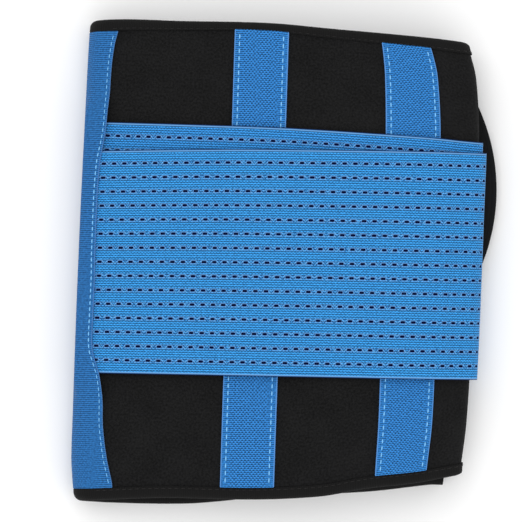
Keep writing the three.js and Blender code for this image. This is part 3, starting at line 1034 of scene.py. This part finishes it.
for side_name, tape_place in front_tapes.items():
    for side, seam_name in ((-1, "first"), (1, "second")):
        sew(
            f"tape_{side_name}_{seam_name}_seam", FRONT_STITCH, tape_seam_length,
            side * (TAPE_WIDTH / 2 - FRONT_SEAM), tape_step, tape_place, blue_thread,
        )

# %% Stitches on the bindings
BINDING_STITCH = (3.4 * MM, 2.4 * MM, 0.22 * MM)
BINDING_SEAM = 1.1 * MM
front_run = right_fold_end - left_fold_end


def binding_seam_place(outline, inward_sign):
    """The place of a seam along a binding's upper leg, on the front layer."""
    bend = binding_place(outline, inward_sign)

    def place(x, y, z):
        along = y + left_fold_end + front_run / 2 - cut_middle
        return bend(along, x + binding_width / 2 - BINDING_SEAM, z + BINDING_WALL / 2)
    return place


for name, outline, inward_sign in (("upper", outline_top, -1), ("lower", outline_bottom, 1)):
    seam_place = binding_seam_place(outline, inward_sign)
    sew(f"{name}_binding_seam", BINDING_STITCH, front_run, 0, 0, seam_place, black_thread)

# %% [markdown]
# ## The tape round the left fold
# Cloth on the outside of a fold has further to go than the panel's middle surface. So this tape's width
# is measured along its own path: its visible edge is placed first, and its cloth is walked back from there.

# %% The tape round the left fold
FOLD_TAPE_STEP = 1 * MM
FOLD_STITCH = (3.1 * MM, 2.3 * MM, 0.23 * MM)
FOLD_SEAM = 1.7 * MM
HIDDEN_SEAM_SINK = 0.35 * MM
SEAM_DRIFT = 0.4 * MM
strap_start = left_fold_end - STRAP_TUCK
END_MARGIN = 0.8 * MM
END_RAMP = 4.2 * MM
BULGE_MARGIN = 2 * MM
BULGE_SLOPE = 16 * MM
bulge_low = BELT_HEIGHT * OUTER_STRAP_ROWS[0][1] - STRAP_WIDTH * OUTER_STRAP_ROWS[0][2] / 2 - BULGE_MARGIN
bulge_high = BELT_HEIGHT * INNER_STRAP_ROWS[0][1] + STRAP_WIDTH / 2 + BULGE_MARGIN


def bulge(distance, height):
    """How far the tape is pushed out by the strap ends under it."""
    ramp_end = strap_start - END_MARGIN
    along = smooth(distance, ramp_end - END_RAMP, ramp_end)
    up = smooth(height, bulge_low - BULGE_SLOPE, bulge_low)
    down = 1 - smooth(height, bulge_high, bulge_high + BULGE_SLOPE)
    return 2 * strap_step * along * up * down


fold_middle = left_fold_end - TAPE_WIDTH / 4
fold_stations = np.linspace(left_fold_end - 2 * FOLD_TAPE_WIDTH, left_fold_end + FOLD_TAPE_WIDTH, num=600)
fold_walked = cloth_to(fold_stations, panel_face + FOLD_EASE + tape_step - TAPE_THICKNESS / 2)


def fold_tape_place(x, y, z):
    """The place of the tape that wraps the left fold, from one binding to the other."""
    share = y / tape_cut_length + 0.5
    low = outline_bottom(fold_middle)
    height = low + (outline_top(fold_middle) - low) * share
    edge = left_fold_end + TAPE_WIDTH * read_rows(FOLD_TAPE_ROWS, 1, height / BELT_HEIGHT)
    cloth = np.interp(edge, fold_stations, fold_walked) - FOLD_TAPE_WIDTH / 2 + x
    distance = np.interp(cloth, fold_walked, fold_stations)
    low = outline_bottom(distance) + BINDING_DEPTH
    height = low + (outline_top(distance) - BINDING_DEPTH - low) * share
    return distance, height, panel_face + FOLD_EASE + z + bulge(distance, height) + wave(distance, height)


def fold_seam_place(x, y, z):
    """The fold tape's place for its seams, which run nearer the edge where the tape bulges."""
    bulging = bulge(strap_start, y) / (2 * strap_step)
    return fold_tape_place(x + SEAM_DRIFT * bulging, y, z)


blue_tape(
    "tape_on_fold", "fold_tape", FOLD_TAPE_WIDTH, FOLD_TAPE_STEP,
    TAPE_THICKNESS, fold_tape_place, shaded_fold_tape_cloth,
)
for side, seam_name, sunk in ((-1, "first", HIDDEN_SEAM_SINK), (1, "second", 0)):
    sew(
        f"tape_on_fold_{seam_name}_seam", FOLD_STITCH, tape_seam_length,
        side * (FOLD_TAPE_WIDTH / 2 - FOLD_SEAM), tape_step - sunk, fold_seam_place, blue_thread,
    )

# %% [markdown]
# ## The elastic straps
# Perforated elastic is the same small cell again and again. One cell is made from a 5 by 5 grid, whose
# middle faces are pulled into a flat oval, and two Array modifiers copy it into a sheet. Its plain borders
# are extruded from the sheet's edges, and the holes are pressed in with inset.

# %% One cell of the elastic
CELL_SQUARES = 5  # along each side of a cell's grid
HOLE_TIP = 0.85 * MM
HOLE_INSET = 0.05 * MM
HOLE_DEPTH = 1.0 * MM
HOLE_SURROUND = 1.6 * MM
right_columns = [HOLE_LENGTH / 4, HOLE_LENGTH / 2, CELL_LENGTH / 2]
upper_rows = [HOLE_WIDTH / 2, HOLE_SURROUND, CELL_WIDTH / 2]
cell_columns = [-x for x in reversed(right_columns)] + right_columns
cell_rows = [-y for y in reversed(upper_rows)] + upper_rows


def elastic_cell(name):
    """One perforated cell, whose hole faces carry the second material slot."""
    bpy.ops.mesh.primitive_grid_add(x_subdivisions=CELL_SQUARES, y_subdivisions=CELL_SQUARES, size=1)
    cell = added(name)
    for vertex in cell.data.vertices:
        column = round((vertex.co.x + 0.5) * CELL_SQUARES)
        row = round((vertex.co.y + 0.5) * CELL_SQUARES)
        vertex.co = (cell_columns[column], cell_rows[row], 0)
        at_hole_end = column in (1, CELL_SQUARES - 1)
        if at_hole_end and row in (2, 3):
            vertex.co.y *= HOLE_TIP / HOLE_WIDTH
    cell.data.materials.append(None)
    cell.data.materials.append(None)
    for face in cell.data.polygons:
        if abs(face.center.y) < HOLE_WIDTH / 2 and abs(face.center.x) < HOLE_LENGTH / 2:
            face.material_index = 1
    return cell


# %% A strap from cells
BORDER_SHARES = (0.6, 0.25, 0.15)
DRAPE_START = 1.5 * MM
border = (STRAP_WIDTH - HOLE_ROWS * CELL_WIDTH) / 2


def select_where(piece, test):
    """Selects the points of a piece that pass a test, and leaves it in edit mode."""
    use_only(piece)
    bpy.ops.object.mode_set(mode="EDIT")
    bpy.ops.mesh.select_mode(type="VERT")
    bpy.ops.mesh.select_all(action="DESELECT")
    bpy.ops.object.mode_set(mode="OBJECT")
    for vertex in piece.data.vertices:
        vertex.select = bool(test(vertex.co))
    bpy.ops.object.mode_set(mode="EDIT")


def extrude_border(piece, side):
    """Extrudes the plain border along one long side."""
    edge = max(vertex.co.y * side for vertex in piece.data.vertices) - TOUCHING
    select_where(piece, lambda point: point.y * side > edge)
    bpy.ops.mesh.select_mode(type="EDGE")
    for share in BORDER_SHARES:
        bpy.ops.mesh.extrude_edges_move(TRANSFORM_OT_translate={"value": (0, side * border * share, 0)})
    bpy.ops.object.mode_set(mode="OBJECT")


def press_holes(piece):
    """Presses the hole faces of the upper side in."""
    edit_faces(piece, lambda face: face.material_index == 1 and face.normal.z > UPWARDS)
    bpy.ops.mesh.inset(thickness=HOLE_INSET, depth=-HOLE_DEPTH)
    # The floors and their walls take the second slot, the painted shade in the holes.
    bpy.ops.mesh.select_more()
    piece.active_material_index = 1
    bpy.ops.object.material_slot_assign()
    bpy.ops.object.mode_set(mode="OBJECT")


def strap_columns(length):
    """An odd number of cells for a strap, so that a hole stands at its middle."""
    return 2 * round((length / CELL_LENGTH - 1) / 2) + 1


def strap_sheet(name, length):
    """A flat strap, its upper face at zero height."""
    columns = strap_columns(length)
    strap = elastic_cell(name)
    repeat(strap, "along", columns, (CELL_LENGTH, 0, 0))
    repeat(strap, "across", HOLE_ROWS, (0, CELL_WIDTH, 0))
    apply_modifiers(strap)
    use_only(strap)
    shift = Vector((-(columns - 1) * CELL_LENGTH / 2, -(HOLE_ROWS - 1) * CELL_WIDTH / 2, 0))
    for vertex in strap.data.vertices:
        vertex.co += shift
        vertex.co.x *= length / (columns * CELL_LENGTH)
    extrude_border(strap, 1)
    extrude_border(strap, -1)
    thicken(strap, STRAP_THICKNESS)
    press_holes(strap)
    return strap


def lift_over_tapes(distance):
    """How far a strap is lifted by the two front tapes."""
    lift = 0
    for place in (LEFT_TAPE_PLACE, RIGHT_TAPE_PLACE):
        beyond = np.abs(distance - front_distance(place)) - TAPE_WIDTH / 2 - DRAPE_START
        lift = np.maximum(lift, tape_step * (1 - smooth(beyond, 0, DRAPE_LENGTH)))
    return lift


def strap_path(layer, return_length):
    """Distances along the belt, and the cloth of a strap that reaches each of them."""
    stations = np.linspace(strap_start, right_fold_end + return_length, STATION_COUNT)
    offset = panel_face + strap_step * layer - STRAP_THICKNESS / 2 + lift_over_tapes(stations)
    return stations, cloth_to(stations, offset)


def strap_place(rows, layer, stations, walked):
    """The place of a strap's flat points round the belt."""
    def place(x, y, z):
        distance = np.interp(x + walked[-1] / 2, walked, stations)
        share = (distance - strap_start) / (right_fold_start - strap_start)
        height = BELT_HEIGHT * read_rows(rows, 1, share) + y * read_rows(rows, 2, share)
        offset = panel_face + strap_step * layer + lift_over_tapes(distance)
        return distance, height, offset + z + wave(distance, height)
    return place


def elastic_strap(name, node, rows, layer, return_length, color):
    """Makes a strap round the belt."""
    stations, walked = strap_path(layer, return_length)
    length = float(walked[-1])
    strap = strap_sheet(name, length)
    fold(strap, strap_place(rows, layer, stations, walked))
    fold_place = float(np.interp(right_fold_tip, stations, walked)) - length / 2
    finish = elastic_finish(f"elastic of {name}", color, length / strap_columns(length), fold_place)
    dress(strap, finish, hole_shade)
    sew_in(strap, node)


# The inner strap's colour is a little darker than the outer's: painted shade, where it lies under the outer
# strap.
elastic_strap(
    "strap_inner", "inner_strap", INNER_STRAP_ROWS, 1, INNER_STRAP_RETURN,
    (0.023, 0.172, 0.440),
)
elastic_strap(
    "strap_outer", "outer_strap", OUTER_STRAP_ROWS, 2, OUTER_STRAP_RETURN,
    (0.025, 0.195, 0.490),
)

# %% [markdown]
# ## The closure tab
# The round end of the closure shows behind the right fold. One face takes its outline: straight at the
# left, a wide arc at the right and rounded corners. A thin groove near the edge is the line where its two
# faces are fused together, made with insets, which follow any outline.

# %% The closure tab
TAB_HEIGHT = 130 * MM
TAB_LENGTH = 62 * MM
TAB_PROUD = 12.2 * MM
TAB_RISE = 36 * MM
TAB_END_RADIUS = 100 * MM
TAB_CORNER = 20 * MM
TAB_RIM = 2.2 * MM
TAB_GROOVE_WIDTH = 0.8 * MM
TAB_GROOVE_DEPTH = 0.35 * MM
TAB_EDGE_RADIUS = 0.7 * MM
TAB_POINTS = 98
tab_right = right_fold_x + TAB_PROUD
tab_corner_rise = TAB_HEIGHT / 2 - TAB_CORNER
tab_turn = math.asin(tab_corner_rise / (TAB_END_RADIUS - TAB_CORNER))
tab_corner_x = tab_right - TAB_END_RADIUS + (TAB_END_RADIUS - TAB_CORNER) * math.cos(tab_turn)


def tab_outline(share):
    """A point of the tab's right end, from its lower corner (-1) to its upper corner (1)."""
    arc_share = 0.6
    side = math.copysign(1, share)
    if abs(share) < arc_share:
        angle = tab_turn * share / arc_share
        end_centre = tab_right - TAB_END_RADIUS
        return end_centre + TAB_END_RADIUS * math.cos(angle), TAB_END_RADIUS * math.sin(angle)
    corner = tab_turn + (math.pi / 2 - tab_turn) * (abs(share) - arc_share) / (1 - arc_share)
    x = tab_corner_x + TAB_CORNER * math.cos(corner)
    return x, side * (tab_corner_rise + TAB_CORNER * math.sin(corner))


def groove(piece, rim, width, depth):
    """A groove round the upper face, a rim's width from its edge."""
    edit_faces(piece, lambda face: face.normal.z > UPWARDS)
    bpy.ops.mesh.inset(thickness=rim)
    bpy.ops.mesh.inset(thickness=width / 2, depth=-depth)
    bpy.ops.mesh.inset(thickness=width / 2, depth=depth)
    bpy.ops.object.mode_set(mode="OBJECT")


tab_left = tab_right - TAB_LENGTH
tab_ring = [(tab_left, -TAB_HEIGHT / 2)]
tab_ring += [tab_outline(share) for share in np.linspace(-1, 1, TAB_POINTS - 2)]
tab_ring += [(tab_left, TAB_HEIGHT / 2)]
bpy.ops.mesh.primitive_circle_add(vertices=TAB_POINTS, radius=1, fill_type="NGON")
tab = added("tab")
for vertex, point in zip(tab.data.vertices, tab_ring):
    vertex.co = (*point, 0)
thicken(tab, TAB_THICKNESS)
groove(tab, TAB_RIM, TAB_GROOVE_WIDTH, TAB_GROOVE_DEPTH)
round_edges(tab, TAB_EDGE_RADIUS)
keep_cut_uv(tab)
tab_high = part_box("closure_tab")[1]
tab_shift = np.array([to_frame[0], TAB_RISE + to_frame[1], tab_high.z])
write_points(tab, read_points(tab) + tab_shift)
shade_smooth(tab)
dress(tab, tab_cloth)
sew_in(tab, "closure_tab")
print("tab over the frame's:", round((tab_right + to_frame[0] - tab_high.x) / MM, 2), "mm")

# %% [markdown]
# ## Camera, floor and light
# The photo looks straight down from far off, so the camera has a long lens. A white floor and a white sky
# give the plain pale ground, and two large soft lights from above bring out the weave.

# %% Camera
PHOTO_WIDTH = 261 * MM
PHOTO_LEVEL = 25 * MM  # the height at which the photo is that wide
CAMERA_PLACE = (-12.9 * MM, 2.7 * MM, 2.5)
CAMERA_TURN = math.radians(1.9)
SENSOR_WIDTH = 36
camera = bpy.data.objects.new("camera", bpy.data.cameras.new("camera"))
bpy.context.collection.objects.link(camera)
camera.location = CAMERA_PLACE
camera.rotation_euler = (0, 0, CAMERA_TURN)
camera.data.sensor_width = SENSOR_WIDTH
camera.data.lens = SENSOR_WIDTH * (CAMERA_PLACE[2] - PHOTO_LEVEL) / PHOTO_WIDTH
bpy.context.scene.camera = camera

# %% Floor and lights
FLOOR_SIZE = 6
FLOOR_WHITE = 0.95
FLOOR_ROUGHNESS = 0.9
SKY_STRENGTH = 0.88
bpy.ops.mesh.primitive_plane_add(size=FLOOR_SIZE)
floor = bpy.context.active_object
floor.name = "floor"
floor_material = bpy.data.materials.new("floor")
floor_material.use_nodes = True
floor_look = {"Base Color": (FLOOR_WHITE, FLOOR_WHITE, FLOOR_WHITE, 1), "Roughness": FLOOR_ROUGHNESS}
feed(floor_material.node_tree, floor_material.node_tree.nodes["Principled BSDF"], floor_look)
floor.data.materials.append(floor_material)
floor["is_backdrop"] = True

world = bpy.data.worlds.new("sky")
world.use_nodes = True
sky_look = {"Color": (1, 1, 1, 1), "Strength": SKY_STRENGTH}
feed(world.node_tree, world.node_tree.nodes["Background"], sky_look)
bpy.context.scene.world = world


def soft_light(name, place, size, power):
    """A large square light that faces the belt."""
    light = bpy.data.objects.new(name, bpy.data.lights.new(name, "AREA"))
    bpy.context.collection.objects.link(light)
    light.data.size = size
    light.data.energy = power
    light.location = place
    light.rotation_euler = (-Vector(place)).to_track_quat("-Z", "Y").to_euler()


soft_light("key light", (-0.3, 0.6, 1.9), 1.6, 10.5)
soft_light("fill light", (0.4, -1.0, 1.6), 2.0, 7.5)
bpy.context.scene.view_settings.view_transform = "Standard"

# %% Sizes
scene_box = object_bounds()
boxes = {"cad": cad_box, "scene": scene_box}
plain_boxes = {name: [[float(part) for part in corner] for corner in box] for name, box in boxes.items()}
for name, (low, high) in plain_boxes.items():
    print(name, [round((b - a) / MM, 1) for a, b in zip(low, high)], "mm")
